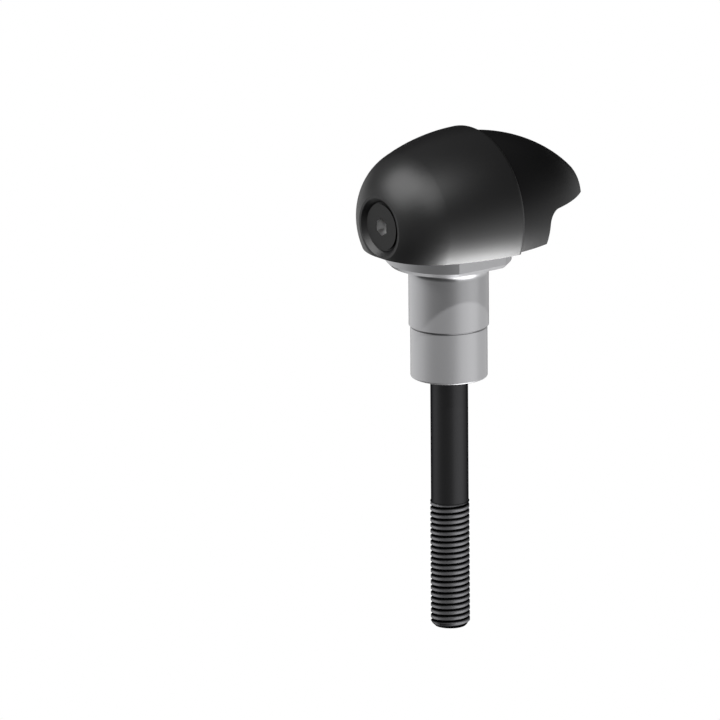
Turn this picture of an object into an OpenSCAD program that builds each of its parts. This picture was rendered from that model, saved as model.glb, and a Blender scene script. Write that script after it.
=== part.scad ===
// Frame slider for a motorcycle: an egg-shaped plastic crash pad on an aluminium
// foot, held to the frame by one long bolt.
// Z runs along the bolt, up towards the pad. The origin is the centre of the
// face that seats on the frame. The pad's nose points along -X, its tail along +X.

/* [Mounting bolt] */
// Nominal thread diameter of the mounting bolt
bolt_d = 10; // [8:0.5:11]
// Bolt length that stands out below the seat face
bolt_reach = 66; // [45:1:90]
// Length of the threaded end
thread_len = 33; // [20:1:40]
// How much thinner the plain shank is than the thread
shank_relief = 0.34; // [0.32:0.02:0.4]
// Height of the lead-in chamfer at the bolt's tip
tip_chamfer = 0.9; // [0.4:0.1:1.4]
// Diameter of the bolt's round head
bolt_head_d = 16; // [15:0.25:17]
// Height of the bolt's head
bolt_head_h = 10; // [7:0.5:11]
// Hex socket of the bolt, across its flats
bolt_hex = 8; // [6:0.5:9]
// Depth of the bolt's hex socket
bolt_hex_depth = 5; // [3:0.5:6]
// Chamfer round the top of the bolt's head
bolt_head_chamfer = 0.8; // [0.3:0.1:1.2]

/* [Seat spacer] */
// Outer diameter of the spacer
spacer_d = 19.7; // [18:0.1:20.4]
// Length of the spacer
spacer_len = 13.3; // [6:0.1:30]
// Rounding of the spacer's lower edge
spacer_edge = 0.5; // [0.2:0.1:1.5]

/* [Foot] */
// Diameter of the foot's round neck
neck_d = 20.5; // [19.5:0.1:23]
// Height of the foot, from the spacer to the face under the pad
foot_h = 21.5; // [18:0.1:32]
// Chamfer round the neck's lower edge
neck_chamfer = 0.45; // [0.2:0.05:1]
// Diameter of the round flange under the pad
flange_d = 32.2; // [30:0.1:36]
// Thickness of the flange
flange_t = 4.95; // [3:0.05:6]
// Width of the flange across its two milled flats
flange_w = 28.5; // [28:0.1:31.5]
// Chamfer along the flange's lower edge
flange_chamfer = 1.1; // [0.4:0.05:1.2]
// Radius of the fillet between neck and flange
neck_fillet = 2.5; // [1:0.1:2.8]
// Wall of the round boss that stands inside the pad
boss_wall = 3.75; // [2.5:0.05:4.5]
// Height of the boss above the pad's own axis
boss_over = 7; // [5:0.1:9]
// Chamfer round the top of the boss
boss_chamfer = 0.6; // [0.3:0.1:1.2]

/* [Pad] */
// Height of the pad's own axis above its flat base
base_drop = 8; // [7:0.1:11]
// Largest radius of the front dome
dome_r = 21.5; // [19:0.1:25]
// Radius of the long arc along the dome's side
dome_arc_r = 58.7; // [50:0.1:80]
// Radius of the tight arc round the dome's nose
nose_arc_r = 15.6; // [13.5:0.1:17]
// Distance of the dome's flat nose face ahead of the bolt
nose_reach = 22.2; // [20:0.1:28]
// Outer radius of that flat nose face
nose_face_r = 8.3; // [7.9:0.1:9.5]
// Distance of the seam between dome and tail behind the bolt
seam_x = 8.6; // [7:0.1:10]
// Rounding of the dome's rear edge at the seam
seam_round = 1.3; // [0.5:0.1:1.4]
// Radius of the tail at the seam
tail_r = 20; // [17:0.1:20]
// Radius of the arc along the tail
tail_arc_r = 47; // [43:0.1:60]
// How far ahead of the seam the tail's arc has its crest
tail_crest = 3.6; // [0:0.1:6]
// Length of the tail behind the seam
tail_len = 28.4; // [22:0.1:34]
// Height of the undercut's ceiling above the pad's axis
undercut_rise = 0.95; // [0.5:0.05:5]
// Radius in the corner of the undercut
undercut_r = 3.4; // [1:0.1:5]
// Plastic left between the screw's blind hole and the undercut
foot_wall = 0.65; // [0.5:0.05:4]
// Radius of the round step that centres the tail in the dome
spigot_r = 15; // [13.5:0.1:16]
// Length of that step
spigot_len = 2; // [1:0.1:3]

/* [Nose screw] */
// Nominal diameter of the nose screw
screw_d = 6; // [5:0.5:6]
// Diameter of its countersunk head
screw_head_d = 12; // [11:0.1:12.2]
// Height of the straight rim on that head
screw_head_rim = 0.3; // [0.2:0.05:0.5]
// How far the head's top sits behind the nose face
screw_sink = 0.75; // [0.5:0.05:1.1]
// Hex socket of the nose screw, across its flats
screw_hex = 4; // [3:0.5:4.5]
// Depth of that hex socket
screw_hex_depth = 2.5; // [1.5:0.1:2.8]
// Radius of the rounded mouth of the screw's recess
lip_r = 1.3; // [0.9:0.05:1.4]
// Gap round the edge of the screw's head
head_gap = 0.3; // [0.2:0.05:0.5]
// Outer diameter of the threaded insert in the tail
insert_d = 8.5; // [7.5:0.1:9.5]
// Length of the threaded insert
insert_len = 6; // [4:0.1:9]
// Depth of the groove round the insert
insert_groove = 0.3; // [0.1:0.05:0.5]

/* [Fits] */
// Clearance round the mounting bolt's shank and head
bolt_gap = 0.25; // [0.1:0.05:0.5]
// How far the bolt's head sits below the flange's top face
head_sink = 0.8; // [0.3:0.1:2]
// Clearance round the boss inside the pad
pocket_gap = 0.2; // [0.1:0.05:0.4]
// Clearance round the nose screw in its holes
screw_gap = 0.25; // [0.1:0.05:0.5]
// Clearance of the centring step in the dome
spigot_gap = 0.1; // [0.05:0.05:0.3]
// Clearance of a part that is pressed or screwed home
press_gap = 0.02; // [0.01:0.01:0.05]

/* [Hidden] */
$fn = 120;

plastic = "#1b1b1d";
tail_plastic = "#161618";
aluminium = "#b9bbbd";
black_steel = "#2c2c2e";
brass = "#b08d4a";

// Reach of a cutter past the face that it cuts
over = 1;
// Size of a cutting block, larger than the whole pad
far = 2 * (nose_reach + seam_x + tail_len);

// Heights up the bolt
flange_top = spacer_len + foot_h;
flange_low = flange_top - flange_t;
bolt_head_z = flange_top - head_sink - bolt_head_h;
pad_z = flange_top + base_drop;
boss_top = pad_z + boss_over;

// Radii round the bolt
bolt_bore_r = bolt_d / 2 + bolt_gap;
head_bore_r = bolt_head_d / 2 + bolt_gap;
boss_r = head_bore_r + boss_wall;
pocket_r = boss_r + pocket_gap;
neck_r = neck_d / 2;
flange_r = flange_d / 2;

// Places along the nose screw
screw_top_x = screw_sink - nose_reach;
insert_inset = 0.2;
insert_x = pocket_r + insert_inset;
screw_tip_over = 0.15;
screw_tip_x = insert_x + insert_len + screw_tip_over;
blind_x = screw_tip_x + screw_tip_over;
undercut_x = blind_x + foot_wall;
screw_bore_r = screw_d / 2 + screw_gap;
head_bore = screw_head_d / 2 + head_gap;

// The dome's side is a long arc that runs into a tight nose arc without a corner.
// The nose arc stands proud by a hair there, so that the two cross at one point.
// Both centres are in the plane of radius and distance along the pad's axis.
crest_x = seam_x - seam_round;
arc_y = dome_r - dome_arc_r;
arc_cross = 0.004;
centre_gap = dome_arc_r - nose_arc_r + arc_cross;
to_face = [nose_face_r - arc_y, -nose_reach - crest_x];
face_dist = norm(to_face);
along = (centre_gap * centre_gap - nose_arc_r * nose_arc_r + face_dist * face_dist)
    / (2 * face_dist);
aside = sqrt(centre_gap * centre_gap - along * along);
nose_c = [arc_y, crest_x] + along * to_face / face_dist
    + aside * [-to_face[1], to_face[0]] / face_dist;
join_x = crest_x + (nose_c[1] - crest_x) * dome_arc_r / centre_gap;

// Centre of the tail's arc
tail_c_x = seam_x - tail_crest;
tail_c_y = tail_r - sqrt(tail_arc_r * tail_arc_r - tail_crest * tail_crest);
tail_end_x = seam_x + tail_len;

// A solid turned round the pad's axis, from a profile of radius and X
module turned_on_pad_axis() {
    translate([0, 0, pad_z]) rotate([0, 90, 0]) rotate_extrude() children();
}

// A band of the profile from one X to another, out to a given radius
module band(from_x, to_x, radius) {
    translate([0, from_x]) square([radius, to_x - from_x]);
}

// A round rod along the pad's axis
module axis_rod(from_x, to_x, radius) {
    translate([from_x, 0, pad_z]) rotate([0, 90, 0]) cylinder(r = radius, h = to_x - from_x);
}

// Everything below the pad's flat base
module below_base() {
    translate([-far / 2, -far / 2, flange_top - far]) cube([far, far, far]);
}

// The hole that the pad drops over the boss with
module boss_pocket() {
    translate([0, 0, flange_top - over])
        cylinder(r = pocket_r, h = boss_top + pocket_gap - flange_top + over);
}

module dome_profile() {
    intersection() {
        translate([arc_y, crest_x]) circle(r = dome_arc_r, $fn = 360);
        union() {
            intersection() {
                translate(nose_c) circle(r = nose_arc_r);
                band(-nose_reach, 0, dome_r);
            }
            band(join_x, crest_x, dome_r + over);
        }
    }
    band(crest_x, seam_x, dome_r - seam_round);
    intersection() {
        translate([dome_r - seam_round, crest_x]) circle(r = seam_round);
        band(crest_x, seam_x, dome_r);
    }
}

// The screw's recess: a mouth rounded over its edge, then the cone that the
// countersunk head pulls on
module recess_profile() {
    mouth_r = head_bore + lip_r;
    difference() {
        band(-nose_reach - over, lip_r - nose_reach, mouth_r);
        translate([mouth_r, lip_r - nose_reach]) circle(r = lip_r);
    }
    cone_x = screw_top_x + screw_head_rim + press_gap;
    cone_r = screw_head_d / 2;
    polygon([[0, cone_x], [cone_r, cone_x], [0, cone_x + cone_r]]);
}

module front_dome() {
    color(plastic) difference() {
        turned_on_pad_axis() dome_profile();
        below_base();
        boss_pocket();
        turned_on_pad_axis() recess_profile();
        axis_rod(screw_top_x, 0, screw_bore_r);
        axis_rod(seam_x - spigot_len - spigot_gap, seam_x + over, spigot_r + spigot_gap);
    }
}

// Side view of what is cut away below the tail's rear lobe
module undercut_profile() {
    difference() {
        translate([undercut_x, undercut_rise - far]) square([far, far]);
        translate([undercut_x, undercut_rise - undercut_r]) difference() {
            square([undercut_r, undercut_r]);
            translate([undercut_r, 0]) circle(r = undercut_r);
        }
    }
}

module tail_cap() {
    color(tail_plastic) difference() {
        union() {
            turned_on_pad_axis() intersection() {
                translate([tail_c_y, tail_c_x]) circle(r = tail_arc_r, $fn = 300);
                band(seam_x, tail_end_x, dome_r);
            }
            axis_rod(seam_x - spigot_len, seam_x + over, spigot_r);
        }
        below_base();
        boss_pocket();
        translate([0, 0, pad_z]) rotate([90, 0, 0])
            linear_extrude(height = far, center = true) undercut_profile();
        axis_rod(0, insert_x + insert_len + press_gap, insert_d / 2 + press_gap);
        axis_rod(0, blind_x, screw_bore_r);
    }
}

// The flange: a turned disc with a flat milled on each side, its lower edge
// chamfered all the way round
module flange_plate() {
    half = flange_w / 2;
    intersection() {
        translate([0, 0, flange_low]) rotate_extrude() polygon([
            [0, 0],
            [flange_r - flange_chamfer, 0],
            [flange_r, flange_chamfer],
            [flange_r, flange_t],
            [0, flange_t],
        ]);
        // Section across the flats
        translate([0, 0, flange_low]) rotate([90, 0, 90])
            linear_extrude(height = far, center = true) polygon([
                [flange_chamfer - half, 0],
                [half - flange_chamfer, 0],
                [half, flange_chamfer],
                [half, flange_t],
                [-half, flange_t],
                [-half, flange_chamfer],
            ]);
    }
}

// The neck, with a chamfer at its foot and a fillet up into the flange
module neck() {
    translate([0, 0, spacer_len]) rotate_extrude() polygon([
        [0, 0],
        [neck_r - neck_chamfer, 0],
        [neck_r, neck_chamfer],
        [neck_r, foot_h],
        [0, foot_h],
    ]);
    translate([0, 0, flange_low - neck_fillet]) rotate_extrude() difference() {
        square([neck_r + neck_fillet, neck_fillet + flange_t / 2]);
        translate([neck_r + neck_fillet, 0]) circle(r = neck_fillet);
    }
}

module flange_foot() {
    color(aluminium) difference() {
        union() {
            neck();
            flange_plate();
            translate([0, 0, flange_top]) rotate_extrude() polygon([
                [0, 0],
                [boss_r, 0],
                [boss_r, boss_top - boss_chamfer - flange_top],
                [boss_r - boss_chamfer, boss_top - flange_top],
                [0, boss_top - flange_top],
            ]);
        }
        translate([0, 0, spacer_len - over]) cylinder(r = bolt_bore_r, h = far);
        translate([0, 0, bolt_head_z]) cylinder(r = head_bore_r, h = far);
        axis_rod(-boss_r - over, boss_r + over, screw_bore_r);
    }
}

module seat_spacer() {
    r = spacer_d / 2;
    color(aluminium) rotate_extrude() difference() {
        translate([bolt_bore_r, 0]) square([r - bolt_bore_r, spacer_len]);
        translate([r - spacer_edge, 0]) difference() {
            square([spacer_edge, spacer_edge]);
            translate([0, spacer_edge]) circle(r = spacer_edge, $fn = 48);
        }
    }
}

// Hex socket cut down from a flat top, seen along its own axis
module hex_socket(across, depth) {
    translate([0, 0, -depth]) cylinder(d = across / cos(30), h = depth + over, $fn = 6);
}

module mount_bolt() {
    thread_r = bolt_d / 2;
    shank_r = thread_r - shank_relief / 2;
    head_r = bolt_head_d / 2;
    color(black_steel) difference() {
        union() {
            rotate_extrude() polygon([
                [0, -bolt_reach],
                [thread_r - tip_chamfer, -bolt_reach],
                [thread_r, tip_chamfer - bolt_reach],
                [thread_r, thread_len - bolt_reach],
                [shank_r, thread_len - bolt_reach],
                [shank_r, bolt_head_z],
                [head_r, bolt_head_z],
                [head_r, bolt_head_z + bolt_head_h - bolt_head_chamfer],
                [head_r - bolt_head_chamfer, bolt_head_z + bolt_head_h],
                [0, bolt_head_z + bolt_head_h],
            ]);
        }
        translate([0, 0, bolt_head_z + bolt_head_h]) hex_socket(bolt_hex, bolt_hex_depth);
    }
}

module nose_screw() {
    head_r = screw_head_d / 2;
    screw_r = screw_d / 2;
    cone_end = screw_top_x + screw_head_rim + head_r - screw_r;
    end_chamfer = 0.6;
    color(black_steel) difference() {
        turned_on_pad_axis() polygon([
            [0, screw_top_x],
            [head_r, screw_top_x],
            [head_r, screw_top_x + screw_head_rim],
            [screw_r, cone_end],
            [screw_r, screw_tip_x - end_chamfer],
            [screw_r - end_chamfer, screw_tip_x],
            [0, screw_tip_x],
        ]);
        translate([screw_top_x, 0, pad_z]) rotate([0, -90, 0])
            hex_socket(screw_hex, screw_hex_depth);
    }
}

module tail_insert() {
    outer = insert_d / 2;
    inner = screw_d / 2 + press_gap;
    groove = insert_len / 4;
    color(brass) turned_on_pad_axis() difference() {
        translate([inner, insert_x]) square([outer - inner, insert_len]);
        translate([outer - insert_groove, insert_x + (insert_len - groove) / 2])
            square([outer, groove]);
    }
}

front_dome();
tail_cap();
flange_foot();
seat_spacer();
mount_bolt();
nose_screw();
tail_insert();
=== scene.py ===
# %% [markdown]
# # A frame slider for a motorcycle
#
# A frame slider is a crash pad that bolts to a motorcycle's frame. When the machine
# falls, the pad takes the blow and slides along the road, so the frame and the
# engine stay whole. This one is an egg of black plastic in two halves on an
# aluminium foot, with a spacer and a long steel bolt below it.
#
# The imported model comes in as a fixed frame, in metres, with Z along the bolt. Its
# pieces could be modelled again here, but then they would no longer fit each other.
# So they are kept, and the cells below add what the CAD leaves out: the finishes,
# the bolt's thread, one crisp edge, and a small studio to look at them in.

# %% Load the frame
import math

import bmesh
import bpy
from mathutils import Matrix, Vector


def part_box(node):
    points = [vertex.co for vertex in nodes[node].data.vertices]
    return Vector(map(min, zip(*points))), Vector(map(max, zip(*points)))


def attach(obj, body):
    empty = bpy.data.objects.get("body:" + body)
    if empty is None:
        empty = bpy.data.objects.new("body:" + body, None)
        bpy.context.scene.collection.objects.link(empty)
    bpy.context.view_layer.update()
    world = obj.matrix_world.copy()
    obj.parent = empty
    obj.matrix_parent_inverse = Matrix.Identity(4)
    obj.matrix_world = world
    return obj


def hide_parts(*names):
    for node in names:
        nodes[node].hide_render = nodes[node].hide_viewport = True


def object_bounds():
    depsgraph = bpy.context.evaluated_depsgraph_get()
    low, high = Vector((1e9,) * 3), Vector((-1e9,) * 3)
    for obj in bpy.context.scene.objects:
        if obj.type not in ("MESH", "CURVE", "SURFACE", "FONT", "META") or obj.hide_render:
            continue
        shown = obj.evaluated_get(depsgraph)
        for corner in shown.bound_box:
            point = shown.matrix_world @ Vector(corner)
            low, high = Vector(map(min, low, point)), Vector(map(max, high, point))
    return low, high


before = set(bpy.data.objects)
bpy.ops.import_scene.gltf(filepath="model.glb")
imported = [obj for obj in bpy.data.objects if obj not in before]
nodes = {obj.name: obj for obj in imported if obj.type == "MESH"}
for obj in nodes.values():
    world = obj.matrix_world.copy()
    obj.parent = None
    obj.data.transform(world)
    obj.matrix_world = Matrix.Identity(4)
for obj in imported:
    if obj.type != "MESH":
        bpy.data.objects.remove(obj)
cad_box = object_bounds()
MM = 0.001
print("nodes:", sorted(nodes))
print("CAD box in mm:", [[round(v / MM, 1) for v in corner] for corner in cad_box])


# %% Put a thing in the scene
def put_in_scene(name, data):
    """A new object at the origin, for a mesh, a lamp or a camera."""
    thing = bpy.data.objects.new(name, data)
    bpy.context.scene.collection.objects.link(thing)
    return thing


camera = put_in_scene("camera", bpy.data.cameras.new("camera"))
bpy.context.scene.camera = camera
print("the scene looks through:", bpy.context.scene.camera.name)

# %% [markdown]
# ## The camera
#
# The slider was photographed from above its nose side and from far off, so the
# bolt's two sides stay parallel. A camera close to it would spread them, so this one
# stands 7.5 m away with a long lens. The slider is also not in the picture's middle.
# A camera can turn towards it or slide sideways. This one slides, because turning
# would change the angle that the slider is seen at.

# %% Directions of the picture
AZIMUTH = math.radians(-37.5)
ELEVATION = math.radians(15.5)
ROLL = 0.0064  # radians

right = Vector((math.cos(AZIMUTH), math.sin(AZIMUTH), 0))
back = Vector((
    math.sin(AZIMUTH) * math.cos(ELEVATION),
    -math.cos(AZIMUTH) * math.cos(ELEVATION),
    math.sin(ELEVATION),
))
up = back.cross(right)
picture_right = right * math.cos(ROLL) - up * math.sin(ROLL)
picture_up = back.cross(picture_right)
print("the camera looks along:", [round(-v, 3) for v in back])

# %% Place the camera
PIXELS = 720
PIXELS_PER_MM = 3.923
SEAT_PIXEL = (449.1, 375.3)  # where the spacer's seat shows, from the top left
CAMERA_DISTANCE = 7.5
SENSOR_MM = 36

metres_per_pixel = MM / PIXELS_PER_MM
seat_right = (SEAT_PIXEL[0] - PIXELS / 2) * metres_per_pixel
seat_down = (SEAT_PIXEL[1] - PIXELS / 2) * metres_per_pixel
aim = picture_up * seat_down - picture_right * seat_right

camera.data.sensor_width = SENSOR_MM
camera.data.lens = SENSOR_MM * CAMERA_DISTANCE / (PIXELS * metres_per_pixel)
camera.data.clip_start = 0.1
camera.data.clip_end = 20
turn = Matrix((picture_right, picture_up, back)).transposed().to_4x4()
camera.matrix_world = Matrix.Translation(aim + back * CAMERA_DISTANCE) @ turn
print("lens in mm:", round(camera.data.lens))

# %% [markdown]
# ## Tools for node trees
#
# The finishes and the thread are both trees of nodes. Such trees are often joined by
# hand in Blender's node editor, but a script has to say every node in words. These
# helpers keep that short: they add a node, join two sockets, do one step of
# arithmetic, and start a group that several finishes can share.

# %% Add, wire and calculate
def add(tree, kind, **settings):
    """A node with its properties set, such as operation."""
    node = tree.nodes.new(kind)
    for key, value in settings.items():
        setattr(node, key, value)
    return node


def wire(tree, source, target):
    tree.links.new(source, target)


def math_node(tree, operation, *values):
    """One Math node. Each of its inputs is a number or a socket."""
    node = add(tree, "ShaderNodeMath", operation=operation)
    for slot, value in zip(node.inputs, values):
        if isinstance(value, (int, float)):
            slot.default_value = value
        else:
            wire(tree, value, slot)
    return node.outputs[0]


print("helpers for node trees are ready")

# %% Start a shader group
FLOAT, VECTOR = "NodeSocketFloat", "NodeSocketVector"


def shader_group(name, inputs, outputs):
    """A new node group. Inputs are name: default, outputs are name: socket type."""
    tree = bpy.data.node_groups.new(name, "ShaderNodeTree")
    for label, default in inputs.items():
        socket = tree.interface.new_socket(label, in_out="INPUT", socket_type=FLOAT)
        socket.default_value = default
    for label, kind in outputs.items():
        tree.interface.new_socket(label, in_out="OUTPUT", socket_type=kind)
    start = tree.nodes.new("NodeGroupInput")
    end = tree.nodes.new("NodeGroupOutput")
    return tree, start, end


def describe(tree):
    print(tree.name, "has", len(tree.nodes), "nodes")


print("shader groups before the first one:", len(bpy.data.node_groups))

# %% [markdown]
# ## Marks and places that finishes share
#
# An effect that several finishes use could be copied into each, but then a change has
# to be made in every copy. So each effect is a shader group. The shaders stay
# outside: the groups only put out masks, normals and measures. Two are marks on a
# surface, and both end in the same way, with one noise that gives a mask and a bump.
# Two tell a finish where on the piece it is.

# %% Put out a noise as marks
BUMP_HEIGHT = 0.02 * MM


def put_out_marks(tree, start, end, noise):
    """The noise goes out as a mask, and as a normal by way of a bump."""
    bump = add(tree, "ShaderNodeBump")
    bump.inputs["Distance"].default_value = BUMP_HEIGHT
    wire(tree, start.outputs["Depth"], bump.inputs["Strength"])
    wire(tree, noise.outputs[0], bump.inputs["Height"])
    wire(tree, noise.outputs[0], end.inputs["Mask"])
    wire(tree, bump.outputs[0], end.inputs["Normal"])


print("marks are at most", BUMP_HEIGHT / MM, "mm high")

# %% [markdown]
# ### Fine grain
#
# Moulded plastic and blasted metal have a soft pebble that is too fine to see one
# grain at a time, but it blurs what the surface reflects. It could be real dents,
# which would take millions of faces. A noise on Object coordinates is chosen: it has
# the same size on every piece and needs no unwrapping.

# %% Fine grain
def make_fine_grain():
    tree, start, end = shader_group(
        "fine_grain", {"Scale": 2500, "Depth": 0.1}, {"Mask": FLOAT, "Normal": VECTOR})
    place = add(tree, "ShaderNodeTexCoord")
    noise = add(tree, "ShaderNodeTexNoise")
    noise.inputs["Detail"].default_value = 3
    wire(tree, place.outputs["Object"], noise.inputs["Vector"])
    wire(tree, start.outputs["Scale"], noise.inputs["Scale"])
    put_out_marks(tree, start, end, noise)
    return tree


fine_grain = make_fine_grain()
describe(fine_grain)

# %% [markdown]
# ### Distance from an axis
#
# The slider has two axes that its pieces are turned round: the bolt's, which stands
# up, and the pad's, which lies along X. Rings, a thread's crests and a socket are
# all told apart by how far they are from such an axis and how far along it. They
# could be painted on as an attribute, but two short sums give it for any piece.

# %% Groups for the two axes
PAD_AXIS_Z = (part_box("nose_screw")[0][2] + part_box("nose_screw")[1][2]) / 2


def make_axis_group(name, along, across, across_middle):
    """Distance from an axis and place along it, both in mm."""
    tree, start, end = shader_group(name, {}, {"Radius": FLOAT, "Along": FLOAT})
    place = add(tree, "ShaderNodeTexCoord")
    split = add(tree, "ShaderNodeSeparateXYZ")
    wire(tree, place.outputs["Object"], split.inputs[0])
    first = split.outputs[across[0]]
    second = math_node(tree, "SUBTRACT", split.outputs[across[1]], across_middle)
    squares = [math_node(tree, "MULTIPLY", side, side) for side in (first, second)]
    radius = math_node(tree, "SQRT", math_node(tree, "ADD", *squares))
    wire(tree, math_node(tree, "MULTIPLY", radius, 1 / MM), end.inputs["Radius"])
    wire(tree, math_node(tree, "MULTIPLY", split.outputs[along], 1 / MM), end.inputs["Along"])
    return tree


bolt_radius = make_axis_group("bolt_radius", "Z", "XY", 0.0)
pad_radius = make_axis_group("pad_radius", "X", "YZ", PAD_AXIS_Z)
describe(bolt_radius)
print("height of the pad's axis in mm:", round(PAD_AXIS_Z / MM, 2))

# %% [markdown]
# ### Turning marks
#
# A lathe leaves fine rings round the bolt's axis, on walls and on end faces alike.
# They could be an anisotropic shader, but rings that vary would have to be linked
# into it, and the export drops that link. So a one-dimensional noise runs along the
# sum of radius and height. That sum changes across a wall and across an end face,
# so both get rings.

# %% Turning marks
def make_turning_marks():
    tree, start, end = shader_group(
        "turning_marks", {"Rings per mm": 6, "Depth": 0.1}, {"Mask": FLOAT, "Normal": VECTOR})
    bolt = add(tree, "ShaderNodeGroup", node_tree=bolt_radius)
    along = math_node(tree, "ADD", bolt.outputs["Radius"], bolt.outputs["Along"])
    spaced = math_node(tree, "MULTIPLY", along, start.outputs["Rings per mm"])
    noise = add(tree, "ShaderNodeTexNoise", noise_dimensions="1D")
    noise.inputs["Scale"].default_value = 1
    noise.inputs["Detail"].default_value = 4
    wire(tree, spaced, noise.inputs["W"])
    put_out_marks(tree, start, end, noise)
    return tree


turning_marks = make_turning_marks()
describe(turning_marks)

# %% [markdown]
# ## Finishes
#
# Each finish is one material round a Principled shader. It could be a photograph
# wrapped round the piece, but that needs unwrapping and shows its pixels from close
# by. A finish made of nodes has neither fault. What is the same all over a piece is
# typed straight into the shader's sockets, and only what changes over the surface
# comes in through a link.

# %% Start a finish
def finish(name, color, **sockets):
    """A material whose sockets are typed in, with _ for each space in a name."""
    material = bpy.data.materials.new(name)
    material.use_nodes = True
    shader = material.node_tree.nodes["Principled BSDF"]
    shader.inputs["Base Color"].default_value = (*color, 1)
    for socket, value in sockets.items():
        shader.inputs[socket.replace("_", " ")].default_value = value
    return material


def dress(name, material):
    """Gives a CAD piece its finish."""
    nodes[name].data.materials.clear()
    nodes[name].data.materials.append(material)
    print(name, "wears", material.name)


print("pieces to dress:", len(nodes))


# %% Change a finish over the surface
def scale_color(material, factor):
    """Multiplies the finish's colour by a factor that changes over the surface."""
    tree = material.node_tree
    color = tree.nodes["Principled BSDF"].inputs["Base Color"]
    scaled = add(tree, "ShaderNodeVectorMath", operation="SCALE")
    if color.is_linked:
        wire(tree, color.links[0].from_socket, scaled.inputs[0])
    else:
        scaled.inputs[0].default_value = color.default_value[:3]
    wire(tree, factor, scaled.inputs["Scale"])
    wire(tree, scaled.outputs[0], color)


def spread(tree, mask, at_zero, at_one):
    """Turns a mask of 0 to 1 into a value between two ends."""
    between = add(tree, "ShaderNodeMapRange")
    wire(tree, mask, between.inputs["Value"])
    between.inputs["To Min"].default_value = at_zero
    between.inputs["To Max"].default_value = at_one
    return between.outputs[0]


def texture(material, group, roughness, variation=0.15, **values):
    """Gives a finish the marks of a group, in its normal, roughness and colour."""
    tree = material.node_tree
    shader = tree.nodes["Principled BSDF"]
    marks = add(tree, "ShaderNodeGroup", node_tree=group)
    for label, value in values.items():
        marks.inputs[label].default_value = value
    mask = marks.outputs["Mask"]
    wire(tree, spread(tree, mask, *roughness), shader.inputs["Roughness"])
    wire(tree, marks.outputs["Normal"], shader.inputs["Normal"])
    scale_color(material, spread(tree, mask, 1 - variation, 1 + variation))
    return material


print("finishes before the first one:", len(bpy.data.materials))

# %% [markdown]
# ### Black plastic of the dome
#
# The dome is moulded in solid black plastic with a satin skin. The plastic is nearly
# black, so what one sees on it is mostly the soft reflection of lamps and screens.
# It could be painted in the greys that it shows, but those would stay when the
# lamps move. So the colour stays close to black, the specular level says how strong
# the reflections are, and a roughness that wanders a little makes them soft.

# %% Dome
black_plastic = texture(
    finish("black_plastic", (0.0018, 0.0018, 0.002), Specular_IOR_Level=0.45),
    fine_grain, roughness=(0.38, 0.48))
dress("front_dome", black_plastic)

# %% [markdown]
# ### Black plastic of the tail
#
# The tail comes from another mould, and its skin is duller than the dome's. It could
# share the dome's finish, but then the seam between the two would hardly show. A
# second finish with weaker and slightly rougher reflections is closer to it.

# %% Tail
tail_plastic = texture(
    finish("tail_plastic", (0.0014, 0.0014, 0.0016), Specular_IOR_Level=0.2),
    fine_grain, roughness=(0.4, 0.52))
dress("tail_cap", tail_plastic)

# %% [markdown]
# ### Turned aluminium
#
# Foot and spacer are turned from aluminium bar and have a fine satin shine. A fully
# metallic shader would mirror the dark screens too strongly, so a little of the
# finish is left as a pale, plain surface, and the rings are kept very shallow.
#
# Where the spacer meets the neck, the gap holds shadow and dirt. A groove could be
# cut there, but it would be thinner than a pixel, so a band of painted shade and dirt is
# enough.

# %% Foot and spacer
JOINT_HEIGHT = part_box("seat_spacer")[1][2] / MM + 0.2  # mm, just above the gap
JOINT_HALF_WIDTH = 0.3
# How dark the band of painted shade and dirt makes the neck
JOINT_SHADE_AND_DIRT_FACTOR = 0.4


def paint_joint_shade_and_dirt(material, height, half_width, factor):
    """A thin line of painted shade and dirt round the bolt's axis, where two turned pieces
    meet.
    """
    tree = material.node_tree
    bolt = add(tree, "ShaderNodeGroup", node_tree=bolt_radius)
    above = math_node(tree, "SUBTRACT", bolt.outputs["Along"], height)
    near = math_node(tree, "LESS_THAN", math_node(tree, "ABSOLUTE", above), half_width)
    scale_color(material, spread(tree, near, 1, factor))


aluminium = texture(
    finish("turned_aluminium", (0.42, 0.42, 0.43), Metallic=0.85),
    turning_marks, roughness=(0.28, 0.32), variation=0.02, Depth=0.02)
paint_joint_shade_and_dirt(aluminium, JOINT_HEIGHT, JOINT_HALF_WIDTH, JOINT_SHADE_AND_DIRT_FACTOR)
dress("flange_foot", aluminium)
dress("seat_spacer", aluminium)
print("the joint's line is at", round(JOINT_HEIGHT, 1), "mm")

# %% [markdown]
# ### Black bolt steel
#
# The bolt is steel with a black oxide skin: a dark metal that still shines. The
# thread's crests get a painted highlight and its roots painted shade, so the teeth
# show as light and dark stripes. Shade like that could come from an ambient
# occlusion node, which is slow and lost in the export. The distance from the axis
# says just as well what is crest and what is root.

# %% Bolt
THREAD_HIGH = -33.2 * MM
# Between these radii the colour goes from painted shade in the root to a painted highlight on
# the crest
CREST_HIGHLIGHT_SPAN = (4.6, 4.9)  # mm from the axis, between black root and bright crest
ROOT_SHADE_FACTOR = 0.06
CREST_HIGHLIGHT_FACTOR = 5


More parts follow.
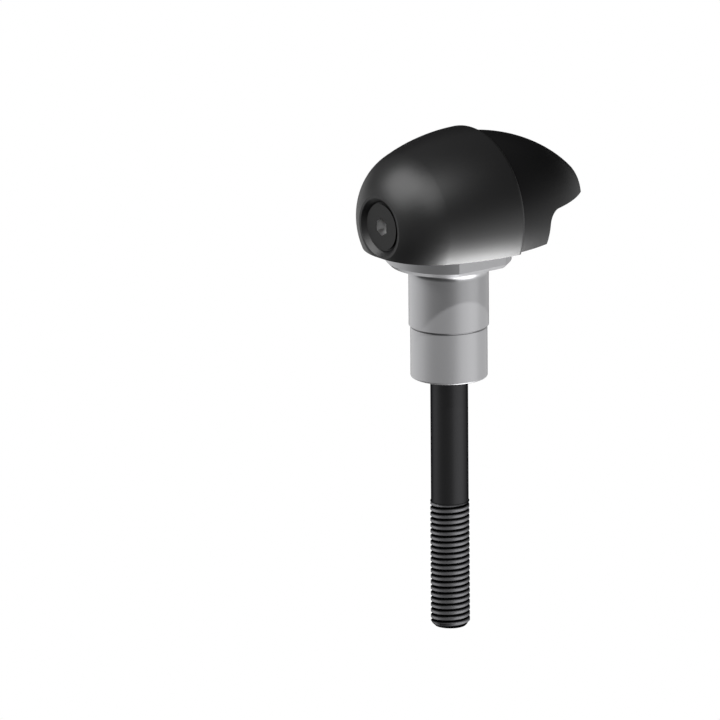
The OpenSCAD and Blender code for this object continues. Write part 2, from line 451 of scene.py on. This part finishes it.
def paint_thread_highlight_and_shade(material, root, crest):
    """Paints a highlight on the crests and shade in the roots, but only as high as the thread
    goes.
    """
    tree = material.node_tree
    bolt = add(tree, "ShaderNodeGroup", node_tree=bolt_radius)
    rise = add(tree, "ShaderNodeMapRange")
    wire(tree, bolt.outputs["Radius"], rise.inputs["Value"])
    rise.inputs["From Min"].default_value = CREST_HIGHLIGHT_SPAN[0]
    rise.inputs["From Max"].default_value = CREST_HIGHLIGHT_SPAN[1]
    rise.inputs["To Min"].default_value = root
    rise.inputs["To Max"].default_value = crest
    on_thread = math_node(tree, "LESS_THAN", bolt.outputs["Along"], THREAD_HIGH / MM)
    change = math_node(tree, "SUBTRACT", rise.outputs[0], 1)
    scale_color(material, math_node(tree, "MULTIPLY_ADD", on_thread, change, 1))


bolt_steel = texture(
    finish("bolt_steel", (0.05, 0.05, 0.052), Metallic=1, Specular_Tint=(0.3, 0.3, 0.3, 1)),
    turning_marks, roughness=(0.28, 0.34), variation=0.03, Depth=0.02)
paint_thread_highlight_and_shade(bolt_steel, ROOT_SHADE_FACTOR, CREST_HIGHLIGHT_FACTOR)
dress("mount_bolt", bolt_steel)

# %% [markdown]
# ### Dark screw steel
#
# The nose screw is steel with a dark grey satin face, and inside its hex socket the
# steel is bright. The socket could have a material of its own, but its faces would
# first have to be picked out of the mesh. The place of the socket is known, so the
# same finish is made brighter inside a short cylinder that starts below the face.

# %% Nose screw
SOCKET_R = 2.4  # mm
SCREW_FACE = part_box("nose_screw")[0][0] / MM
SOCKET_FROM, SOCKET_TO = SCREW_FACE + 0.05, SCREW_FACE + 3.45
SOCKET_FACTOR = 13


def brighten_socket(material, factor):
    tree = material.node_tree
    pad = add(tree, "ShaderNodeGroup", node_tree=pad_radius)
    close = math_node(tree, "LESS_THAN", pad.outputs["Radius"], SOCKET_R)
    below = math_node(tree, "GREATER_THAN", pad.outputs["Along"], SOCKET_FROM)
    above = math_node(tree, "LESS_THAN", pad.outputs["Along"], SOCKET_TO)
    inside = math_node(tree, "MULTIPLY", math_node(tree, "MULTIPLY", close, below), above)
    scale_color(material, spread(tree, inside, 1, factor))


screw_steel = texture(
    finish("screw_steel", (0.034, 0.034, 0.034), Metallic=1),
    fine_grain, roughness=(0.36, 0.46))
brighten_socket(screw_steel, SOCKET_FACTOR)
dress("nose_screw", screw_steel)

# %% [markdown]
# ### Brass
#
# The threaded insert in the tail is a small brass bush. It is hidden in the built
# slider and shows only when the pieces are taken apart. Bare brass is a plain
# yellow metal, so its colour and some grain in its roughness are all it needs.

# %% Insert
brass = texture(
    finish("brass", (0.69, 0.5, 0.22), Metallic=1), fine_grain, roughness=(0.25, 0.4))
dress("tail_insert", brass)

# %% [markdown]
# ## The bolt's thread
#
# The bolt's lower third carries the M10 thread that screws into the machine, and the
# CAD leaves a plain cylinder there. A thread could be a bump in the material, but
# its teeth show on the bolt's outline. It could be a Screw modifier on a drawn
# tooth, but that leaves ragged ends. Here Geometry Nodes roll up a flat grid. Each
# of its rows climbs one pitch a turn, and four rows make one tooth: two for the
# crest and two for the root. Past either end the rows are pressed flat into the end
# plane, where they merge, so the ends come out clean.

# %% Rules of the thread
THREAD_SIZES = {
    "Pitch": 1.5 * MM,
    "Crest Radius": 5.0 * MM,
    "Root Radius": 4.45 * MM,
    "Shank Radius": 4.83 * MM,
    "Low": -66 * MM,
    "High": THREAD_HIGH,
    "Tip Radius": 3.95 * MM,
    "Tip Chamfer": 1.0 * MM,
    "Run Out": 0.6 * MM,
}
COLUMNS = 72
# Place of each row within one pitch, and how far its radius goes to the crest
ROWS = [(0.0, 1.0), (0.38, 1.0), (0.60, 0.0), (0.78, 0.0)]
TURNS_BELOW = 2
TURNS_ABOVE = 1
thread_length = THREAD_SIZES["High"] - THREAD_SIZES["Low"]
turns = round(thread_length / THREAD_SIZES["Pitch"]) + TURNS_BELOW + TURNS_ABOVE
print("thread:", round(thread_length / MM, 1), "mm long,", turns, "turns of rows")

# %% Inputs of the tree
thread_tree = bpy.data.node_groups.new("cut_thread", "GeometryNodeTree")
kinds = dict.fromkeys(THREAD_SIZES, FLOAT)
kinds.update({"Columns": "NodeSocketInt", "Rows": "NodeSocketInt"})
kinds["Finish"] = "NodeSocketMaterial"
for label, kind in kinds.items():
    thread_tree.interface.new_socket(label, in_out="INPUT", socket_type=kind)
thread_tree.interface.new_socket(
    "Geometry", in_out="OUTPUT", socket_type="NodeSocketGeometry")
given = thread_tree.nodes.new("NodeGroupInput").outputs
grown = thread_tree.nodes.new("NodeGroupOutput")


def calc(operation, *values):
    return math_node(thread_tree, operation, *values)


def join(source, target):
    wire(thread_tree, source, target)


print("inputs of the tree:", list(kinds))

# %% [markdown]
# The grid is one by one metre, with one column more than there are round the thread,
# because the last column closes on the first. A point's X then says how far it is
# turned, and its Y says which row it is in.

# %% The flat grid
grid = add(thread_tree, "GeometryNodeMeshGrid")
join(calc("ADD", given["Columns"], 1), grid.inputs["Vertices X"])
join(given["Rows"], grid.inputs["Vertices Y"])
grid.inputs["Size X"].default_value = 1
grid.inputs["Size Y"].default_value = 1
position = add(thread_tree, "GeometryNodeInputPosition")
on_grid = add(thread_tree, "ShaderNodeSeparateXYZ")
join(position.outputs[0], on_grid.inputs[0])
turned = calc("ADD", on_grid.outputs["X"], 0.5)
last_row = calc("SUBTRACT", given["Rows"], 1)
row = calc("ROUND", calc("MULTIPLY", calc("ADD", on_grid.outputs["Y"], 0.5), last_row))
describe(thread_tree)

# %% Which of the four rows, and which turn
row_kind = calc("MODULO", row, len(ROWS))
whole_turns = calc("FLOOR", calc("DIVIDE", calc("ADD", row, 0.5), len(ROWS)))


def look_up(column):
    """Picks a value of ROWS by the kind of the row."""
    pick = add(thread_tree, "GeometryNodeIndexSwitch", data_type="FLOAT")
    while len(pick.index_switch_items) < len(ROWS):
        pick.index_switch_items.new()
    join(row_kind, pick.inputs["Index"])
    for i, values in enumerate(ROWS):
        pick.inputs[i + 1].default_value = values[column]
    return pick.outputs[0]


row_place = look_up(0)
crest_share = look_up(1)
describe(thread_tree)

# %% [markdown]
# Two rules now place every point. Its height grows evenly with each turn, and is
# held between the thread's two ends. Its radius comes from the tooth's profile, but
# the tip's chamfer cuts it down, and next to the shank it fades into the shank's
# radius. Cutting those two with other solids would need a Boolean, which leaves
# slivers on such a fine thread. A minimum and a blend leave none.

# %% Height of each point
turns_up = calc("ADD", calc("ADD", whole_turns, row_place), turned)
climbed = calc("MULTIPLY", calc("SUBTRACT", turns_up, TURNS_BELOW), given["Pitch"])
height = add(thread_tree, "ShaderNodeClamp")
join(calc("ADD", given["Low"], climbed), height.inputs["Value"])
join(given["Low"], height.inputs["Min"])
join(given["High"], height.inputs["Max"])
describe(thread_tree)

# %% Radius of each point
depth = calc("SUBTRACT", given["Crest Radius"], given["Root Radius"])
profile = calc("MULTIPLY_ADD", crest_share, depth, given["Root Radius"])

# The chamfer at the tip is a cone that cuts the profile
above_tip = calc("SUBTRACT", height.outputs[0], given["Low"])
tip_step = calc("SUBTRACT", given["Crest Radius"], given["Tip Radius"])
slope = calc("DIVIDE", tip_step, given["Tip Chamfer"])
cone = calc("MULTIPLY_ADD", above_tip, slope, given["Tip Radius"])
chamfered = calc("MINIMUM", profile, cone)

# The thread runs out into the shank
fade = add(thread_tree, "ShaderNodeMapRange")
join(calc("SUBTRACT", given["High"], height.outputs[0]), fade.inputs["Value"])
join(given["Run Out"], fade.inputs["From Min"])
fade.inputs["From Max"].default_value = 0
blend = add(thread_tree, "ShaderNodeMix", data_type="FLOAT")
join(fade.outputs[0], blend.inputs["Factor"])
join(chamfered, blend.inputs["A"])
join(given["Shank Radius"], blend.inputs["B"])
describe(thread_tree)

# %% Roll the grid up
angle = calc("MULTIPLY", turned, math.tau)
rolled = add(thread_tree, "ShaderNodeCombineXYZ")
for axis, wave in (("X", "COSINE"), ("Y", "SINE")):
    join(calc("MULTIPLY", calc(wave, angle), blend.outputs[0]), rolled.inputs[axis])
join(height.outputs[0], rolled.inputs["Z"])
roll = add(thread_tree, "GeometryNodeSetPosition")
join(grid.outputs["Mesh"], roll.inputs["Geometry"])
join(rolled.outputs[0], roll.inputs["Position"])
parts = add(thread_tree, "GeometryNodeJoinGeometry")
join(roll.outputs[0], parts.inputs[0])
describe(thread_tree)


# %% A flat face on each end
def add_cap(cap_radius, cap_height):
    """A round face with as many corners as the thread has columns."""
    cap = add(thread_tree, "GeometryNodeMeshCircle", fill_type="NGON")
    join(given["Columns"], cap.inputs["Vertices"])
    join(cap_radius, cap.inputs["Radius"])
    lift = add(thread_tree, "ShaderNodeCombineXYZ")
    join(cap_height, lift.inputs["Z"])
    move = add(thread_tree, "GeometryNodeTransform")
    join(cap.outputs["Mesh"], move.inputs["Geometry"])
    join(lift.outputs[0], move.inputs["Translation"])
    join(move.outputs[0], parts.inputs[0])


add_cap(given["Tip Radius"], given["Low"])
add_cap(given["Shank Radius"], given["High"])
describe(thread_tree)

# %% Weld and paint
WELD_DISTANCE = 0.004 * MM
weld = add(thread_tree, "GeometryNodeMergeByDistance")
weld.inputs["Distance"].default_value = WELD_DISTANCE
join(parts.outputs[0], weld.inputs["Geometry"])
real = add(thread_tree, "GeometryNodeRealizeInstances")
join(weld.outputs[0], real.inputs[0])
paint = add(thread_tree, "GeometryNodeSetMaterial")
join(real.outputs[0], paint.inputs["Geometry"])
join(given["Finish"], paint.inputs["Material"])
join(paint.outputs[0], grown.inputs[0])
describe(thread_tree)

# %% [markdown]
# A tree only makes its mesh while an object wears it as a modifier. The modifier
# could be applied with an operator, but operators depend on what is selected. So an
# empty mesh wears the tree for a moment, Blender works out the result, and that is
# copied into a plain mesh. The inputs are set by their identifiers, which stay the
# same when a label changes.


# %% Grow the thread
def grown_mesh(tree, values):
    """Runs a Geometry Nodes tree on an empty mesh and gives back a plain mesh."""
    seed = put_in_scene(tree.name, bpy.data.meshes.new(tree.name))
    modifier = seed.modifiers.new(tree.name, "NODES")
    modifier.node_group = tree
    for item in tree.interface.items_tree:
        if item.in_out == "INPUT":
            modifier[item.identifier] = values[item.name]
    graph = bpy.context.evaluated_depsgraph_get()
    mesh = bpy.data.meshes.new_from_object(seed.evaluated_get(graph))
    bpy.data.objects.remove(seed)
    return mesh


thread_values = dict(THREAD_SIZES)
thread_values.update({"Columns": COLUMNS, "Rows": turns * len(ROWS) + 1, "Finish": bolt_steel})
thread_mesh = grown_mesh(thread_tree, thread_values)
print("thread:", len(thread_mesh.polygons), "faces")

# %% [markdown]
# ## The bolt in one piece
#
# The real bolt is one forging with its thread rolled into it. The thread could stay
# a piece of its own, pushed into the CAD bolt, but then two skins would lie in the
# same place. So a copy of the CAD bolt is cut off where the thread begins, both
# ends are closed, and the two closed bodies go into one mesh, which stands for the
# CAD bolt. The CAD's stored normals no longer fit after the cut, so they go.

# %% Cut the shank off
SAME_PLACE = 0.001 * MM
ON_PLANE = 0.0005 * MM
CUT_HEIGHT = THREAD_HIGH + 0.02 * MM


def close_ends(bm):
    bmesh.ops.holes_fill(bm, edges=[e for e in bm.edges if e.is_boundary])
    bmesh.ops.recalc_face_normals(bm, faces=bm.faces)


shank = bmesh.new()
shank.from_mesh(nodes["mount_bolt"].data)
bmesh.ops.remove_doubles(shank, verts=shank.verts, dist=SAME_PLACE)
bmesh.ops.bisect_plane(
    shank, geom=shank.verts[:] + shank.edges[:] + shank.faces[:], dist=ON_PLANE,
    plane_co=(0, 0, CUT_HEIGHT), plane_no=(0, 0, 1), clear_inner=True)
close_ends(shank)
print("open edges of the shank:", sum(e.is_boundary for e in shank.edges))


# %% Join shank and thread
def forget_cad_normals(mesh):
    if "custom_normal" in mesh.attributes:
        mesh.attributes.remove(mesh.attributes["custom_normal"])


thread = bmesh.new()
thread.from_mesh(thread_mesh)
close_ends(thread)
print("open edges of the thread:", sum(e.is_boundary for e in thread.edges))
thread.to_mesh(thread_mesh)
thread.free()
shank.from_mesh(thread_mesh)
bolt_mesh = bpy.data.meshes.new("threaded_bolt")
shank.to_mesh(bolt_mesh)
shank.free()
forget_cad_normals(bolt_mesh)

# %% Make it the bolt
SHARP_ANGLE = math.radians(28)

bolt_mesh.materials.append(bolt_steel)
for face in bolt_mesh.polygons:
    face.material_index = 0
bolt_mesh.shade_smooth()
bolt_mesh.set_sharp_from_angle(angle=SHARP_ANGLE)
threaded_bolt = put_in_scene("threaded_bolt", bolt_mesh)
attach(threaded_bolt, "root")
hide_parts("mount_bolt")
print("bolt:", len(bolt_mesh.polygons), "faces")

# %% [markdown]
# ## The mouth of the screw's recess
#
# The nose screw sits in a recess, and the recess has a crisp conical mouth. The CAD
# dome has a rounded lip there. The mouth could be cut with a Boolean, but that would
# disturb the smooth skin round it. Instead the lip's own vertices are moved onto the
# cone between its two edges, on a merged copy of the dome that stands for it. The
# corners of all other faces keep the smooth normals of the CAD.

# %% Copy the dome
dome_source = nodes["front_dome"].data
dome_normals = [corner.vector.copy() for corner in dome_source.corner_normals]
merged = bmesh.new()
merged.from_mesh(dome_source)
bmesh.ops.remove_doubles(merged, verts=merged.verts, dist=SAME_PLACE)
dome_mesh = bpy.data.meshes.new("crisp_dome")
merged.to_mesh(dome_mesh)
merged.free()
forget_cad_normals(dome_mesh)
print("corners of the dome:", len(dome_normals), "before,", len(dome_mesh.loops), "after")

# %% Move the lip onto the cone
LIP = 1.3 * MM
MOUTH_R = 7.6 * MM
NOSE_X = cad_box[0][0]
PAST_LIP = 0.01 * MM
OFF_LIP = 0.02 * MM


def onto_cone(place):
    """The place on the cone at the same share of the way, or None off the lip."""
    x, y, z = place.x, place.y, place.z - PAD_AXIS_Z
    radius = math.hypot(y, z)
    inward, outward = MOUTH_R - radius, NOSE_X + LIP - x
    if inward < -PAST_LIP or outward < -PAST_LIP:
        return None
    if abs(math.hypot(inward, outward) - LIP) > OFF_LIP:
        return None
    share = min(1, math.atan2(outward, inward) / (math.pi / 2))
    wider = (MOUTH_R - LIP + share * LIP) / radius
    return Vector((NOSE_X + LIP - share * LIP, y * wider, PAD_AXIS_Z + z * wider))


lip = set()
for vertex in dome_mesh.vertices:
    place = onto_cone(vertex.co)
    if place is not None:
        vertex.co = place
        lip.add(vertex.index)
print("vertices on the mouth:", len(lip))

# %% Turn the cone's normals
cone_corners = 0
for face in dome_mesh.polygons:
    if lip.issuperset(face.vertices):
        cone_corners += len(face.vertices)
        for corner, index in zip(face.loop_indices, face.vertices):
            x, y, z = dome_mesh.vertices[index].co
            around = Vector((0, y, z - PAD_AXIS_Z)).normalized()
            dome_normals[corner] = (Vector((-1, 0, 0)) - around).normalized()
dome_mesh.normals_split_custom_set(dome_normals)
print("corners turned:", cone_corners, "of", len(dome_normals))

# %% Make it the dome
dome_mesh.materials.clear()
dome_mesh.materials.append(black_plastic)
crisp_dome = put_in_scene("crisp_dome", dome_mesh)
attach(crisp_dome, "root")
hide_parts("front_dome")
print("dome:", len(dome_mesh.polygons), "faces")

# %% [markdown]
# ## The studio
#
# The slider was photographed alone in front of white. Shiny things show the room
# round them, so a studio is made of what they mirror as much as of its lamps. One
# set of lamps for everything could light it, but black plastic needs a lot of light
# and bare aluminium very little. So most lamps come in pairs at nearly the same
# place, one that lights only the plastic and one that lights only the metal.

# %% Directions and lamps
MIDDLE = (cad_box[0] + cad_box[1]) / 2
PLASTIC = (crisp_dome, nodes["tail_cap"], nodes["nose_screw"])
METAL = (nodes["flange_foot"], nodes["seat_spacer"], nodes["tail_insert"], threaded_bolt)


def towards(azimuth, elevation):
    """Azimuth 0 is the -Y side and -90 the nose side, in degrees."""
    a, e = math.radians(azimuth), math.radians(elevation)
    return Vector((math.sin(a) * math.cos(e), -math.cos(a) * math.cos(e), math.sin(e)))


def lamp(name, azimuth, elevation, distance, size, watts, only):
    """A round lamp, aimed at the slider, that lights only some of its pieces."""
    away = towards(azimuth, elevation)
    data = bpy.data.lights.new(name, "AREA")
    data.shape = "DISK"
    data.size = size
    data.energy = watts
    light = put_in_scene(name, data)
    light.location = MIDDLE + away * distance
    light.rotation_euler = (-away).to_track_quat("-Z", "Y").to_euler()
    receivers = bpy.data.collections.new(name)
    for piece in only:
        receivers.objects.link(piece)
    light.light_linking.receiver_collection = receivers
    print("lamp", name, "lights", len(only), "pieces with", watts, "W")


print("middle of the slider in mm:", [round(v / MM, 1) for v in MIDDLE])

# %% [markdown]
# ### The key lamps
#
# The main light comes from high up at the front. On the pad it leaves one wide soft
# highlight, so it is a large disc. On the neck the flange's shadow has a sharp
# edge, so the metal's key is a disc of only 3 cm, in the direction that draws the
# shadow's edge where it belongs. A sun lamp could do that too, but a disc also
# shows in the metal as a small highlight.

# %% Key lamps
lamp("key", -45, 55, distance=0.9, size=0.8, watts=6, only=PLASTIC)
lamp("metal_key", -16, 55.7, distance=0.9, size=0.03, watts=20, only=METAL)

# %% [markdown]
# ### The lamps from the left and from below
#
# The nose and the left of the neck have a soft highlight from the left. The pad's
# lower flank is its brightest part, as if the white table threw light up at it. The
# floor could do that alone, but it would light everything from below, so a large
# lamp low on the right does it, with a weak twin for the metal.

# %% Side and low lamps
lamp("left", -112, 44, distance=0.9, size=0.9, watts=10, only=PLASTIC)
lamp("metal_left", -120, 32, distance=0.9, size=0.2, watts=7, only=METAL)
lamp("low_right", 38, -60, distance=0.8, size=0.65, watts=29, only=PLASTIC)
lamp("metal_low_right", 35, -62, distance=0.8, size=0.8, watts=5, only=METAL)

# %% [markdown]
# ### The screens
#
# A photographer hangs dark cards round a shiny thing, so that it mirrors them and
# not the white room. Cards could be planes, but a part of a sphere keeps the same
# distance everywhere, and its edges are plain angles. None of them shows to the
# camera.

# %% Build a screen
def screen(name, azimuths, elevations, radius, cloth, steps=24):
    """Part of a sphere round the slider, hidden from the camera."""
    def between(ends, step):
        return ends[0] + (ends[1] - ends[0]) * step / steps

    bm = bmesh.new()
    rings = []
    for i in range(steps + 1):
        elevation = between(elevations, i)
        ways = [towards(between(azimuths, j), elevation) for j in range(steps + 1)]
        rings.append([bm.verts.new(MIDDLE + radius * way) for way in ways])
    for low, high in zip(rings, rings[1:]):
        for j in range(steps):
            bm.faces.new((low[j], low[j + 1], high[j + 1], high[j]))
    mesh = bpy.data.meshes.new(name)
    bm.to_mesh(mesh)
    bm.free()
    wall = put_in_scene(name, mesh)
    wall.visible_camera = False
    mesh.materials.append(cloth)
    print("screen", name, "has", len(mesh.polygons), "faces")


CLOTH_COLOR = (0.03, 0.03, 0.03)
GLOW_COLOR = (1, 1, 1, 1)
print("the cloth is as dark as", CLOTH_COLOR[0])

# %% [markdown]
# ### The canopy
#
# The top of the pad is dark but not black: it mirrors a dim ceiling. A black canopy
# would leave no shape there, and the bare white room would make it grey. So the
# canopy is nearly a whole half sphere of dark cloth, with a faint glow of its own.

# %% Canopy
CANOPY_GLOW = 0.18
canopy_cloth = finish(
    "canopy_cloth", CLOTH_COLOR, Roughness=1,
    Emission_Color=GLOW_COLOR, Emission_Strength=CANOPY_GLOW)
screen("canopy", (-180, 180), (3, 89.9), radius=1.3, cloth=canopy_cloth, steps=48)

# %% [markdown]
# ### The cloth at the front left
#
# The middle of the neck mirrors what stands at the front left. There it is darkest,
# and it gets brighter towards both of its edges without a step. Several cards side
# by side would show as bars, so one cloth fades from dim in its middle to nearly
# white at its ends. The fade is on the cloth, by Object coordinates, so it stays in
# its place when the camera moves.

# %% Front left
FRONT_RADIUS = 1.2
DIM_AZIMUTH = -62
FADE_FROM, FADE_TO = 0.3, 1.0  # cosine of the angle from the dimmest direction
GLOW_AT_ENDS, GLOW_IN_MIDDLE = 0.85, 0.3


def make_graded_cloth():
    material = finish("graded_cloth", CLOTH_COLOR, Roughness=1, Emission_Color=GLOW_COLOR)
    tree = material.node_tree
    place = add(tree, "ShaderNodeTexCoord")
    across = add(tree, "ShaderNodeVectorMath", operation="DOT_PRODUCT")
    wire(tree, place.outputs["Object"], across.inputs[0])
    across.inputs[1].default_value = towards(DIM_AZIMUTH, 0)
    share = math_node(tree, "DIVIDE", across.outputs["Value"], FRONT_RADIUS)
    grade = add(tree, "ShaderNodeMapRange", interpolation_type="SMOOTHSTEP")
    wire(tree, share, grade.inputs["Value"])
    grade.inputs["From Min"].default_value = FADE_FROM
    grade.inputs["From Max"].default_value = FADE_TO
    grade.inputs["To Min"].default_value = GLOW_AT_ENDS
    grade.inputs["To Max"].default_value = GLOW_IN_MIDDLE
    shader = tree.nodes["Principled BSDF"]
    wire(tree, grade.outputs[0], shader.inputs["Emission Strength"])
    return material


dark_cloth = finish("dark_cloth", CLOTH_COLOR, Roughness=1)
screen("low_left_screen", (-150, -12), (-80, -24), radius=1.25, cloth=dark_cloth)
screen("front_left_screen", (-145, 20), (-24, 3), FRONT_RADIUS, make_graded_cloth())

# %% [markdown]
# ### The screens on the right
#
# The right of the neck mirrors something pale grey, and its last edge and the tail
# mirror something dark. Both could be one graded cloth as well, but here the photo
# shows a plain step, so three plain cloths are enough: a grey one, a dark one behind
# it, and a dark one above for the tail.

# %% Right side
GREY_GLOW = 0.7
grey_cloth = finish(
    "grey_cloth", CLOTH_COLOR, Roughness=1,
    Emission_Color=GLOW_COLOR, Emission_Strength=GREY_GLOW)
screen("right_screen", (55, 122), (-24, 3), radius=1.2, cloth=grey_cloth)
screen("back_right_screen", (122, 163), (-60, 3), radius=1.2, cloth=dark_cloth)
screen("high_right_screen", (85, 165), (3, 32), radius=1.25, cloth=dark_cloth)

# %% [markdown]
# ### White room and pale floor
#
# The picture's ground is pure white with no horizon. Enough light would make it
# white, but it would wash the slider out too. So room and floor have two faces: the
# one that lights the slider is dim, and the one that the camera and mirrors see is
# white. The Light Path node tells the kinds of ray apart.

# %% Show white to camera and mirrors
def white_for_camera(tree, plain, white, output):
    """Shows the white shader to camera, glossy and transmission rays."""
    ray = add(tree, "ShaderNodeLightPath")
    seen = math_node(tree, "ADD", ray.outputs["Is Camera Ray"], ray.outputs["Is Glossy Ray"])
    seen = math_node(tree, "ADD", seen, ray.outputs["Is Transmission Ray"])
    mix = add(tree, "ShaderNodeMixShader")
    wire(tree, math_node(tree, "MINIMUM", seen, 1), mix.inputs[0])
    wire(tree, plain, mix.inputs[1])
    wire(tree, white, mix.inputs[2])
    wire(tree, mix.outputs[0], output)


ROOM_LIGHT = 0.3
ROOM_WHITE = 1
world = bpy.data.worlds.new("white_room")
bpy.context.scene.world = world
world.use_nodes = True
dim_room = world.node_tree.nodes["Background"]
white_room = add(world.node_tree, "ShaderNodeBackground")
for background, strength in ((dim_room, ROOM_LIGHT), (white_room, ROOM_WHITE)):
    background.inputs["Color"].default_value = (1, 1, 1, 1)
    background.inputs["Strength"].default_value = strength
white_for_camera(
    world.node_tree, dim_room.outputs[0], white_room.outputs[0],
    world.node_tree.nodes["World Output"].inputs["Surface"])
print("the room lights the slider with", ROOM_LIGHT, "and looks like", ROOM_WHITE)

# %% [markdown]
# The floor is a round disc far below the slider, because no shadow falls on the
# ground in the picture. It is matt white with a glow on top of it that only the
# camera and mirrors see, so that it stays pale between the lamps.

# %% Floor
FLOOR_RADIUS = 1.3
FLOOR_HEIGHT = -1.2
FLOOR_GLOW = 0.75


def make_floor_finish():
    material = finish("pale_floor", (0.8, 0.8, 0.8), Roughness=0.9)
    tree = material.node_tree
    matt = tree.nodes["Principled BSDF"].outputs[0]
    glow = add(tree, "ShaderNodeEmission")
    glow.inputs["Strength"].default_value = FLOOR_GLOW
    both = add(tree, "ShaderNodeAddShader")
    wire(tree, matt, both.inputs[0])
    wire(tree, glow.outputs[0], both.inputs[1])
    output = tree.nodes["Material Output"].inputs["Surface"]
    white_for_camera(tree, matt, both.outputs[0], output)
    return material


disc = bmesh.new()
bmesh.ops.create_circle(disc, cap_ends=True, segments=96, radius=FLOOR_RADIUS)
bmesh.ops.translate(disc, verts=disc.verts, vec=(0, 0, FLOOR_HEIGHT))
floor_mesh = bpy.data.meshes.new("floor")
disc.to_mesh(floor_mesh)
disc.free()
floor_mesh.materials.append(make_floor_finish())
floor = put_in_scene("floor", floor_mesh)
bpy.context.scene.view_settings.view_transform = "Standard"
print("floor:", FLOOR_HEIGHT, "m high,", 2 * FLOOR_RADIUS, "m across")
